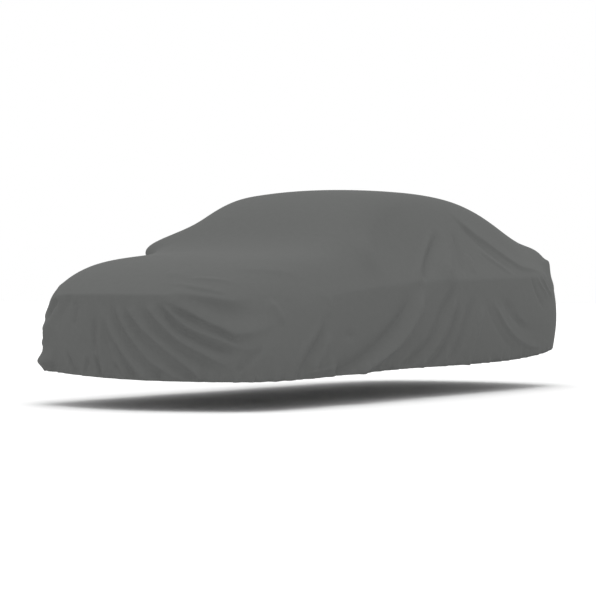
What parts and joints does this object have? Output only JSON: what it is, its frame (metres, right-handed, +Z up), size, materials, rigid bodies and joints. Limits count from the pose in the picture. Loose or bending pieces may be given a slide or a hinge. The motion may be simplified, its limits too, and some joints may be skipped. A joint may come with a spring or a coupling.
{
  "type": "car cover",
  "caption": "Fitted cloth cover for a saloon car, draped to its shape with soft uneven folds and a gathered hem, open below.",
  "frame": {"origin": "under the cloth at the crown of the roof, where the car's roof holds the cover up", "axes": "+Z up, -Y towards the car's nose, +X towards the car's left side"},
  "size_m": [1.887, 4.5582, 1.2404],
  "materials": {
    "cover_cloth": "matt grey spunbond polypropylene"
  },
  "bodies": {
    "root": {"cover": "cover_cloth"}
  },
  "joints": []
}
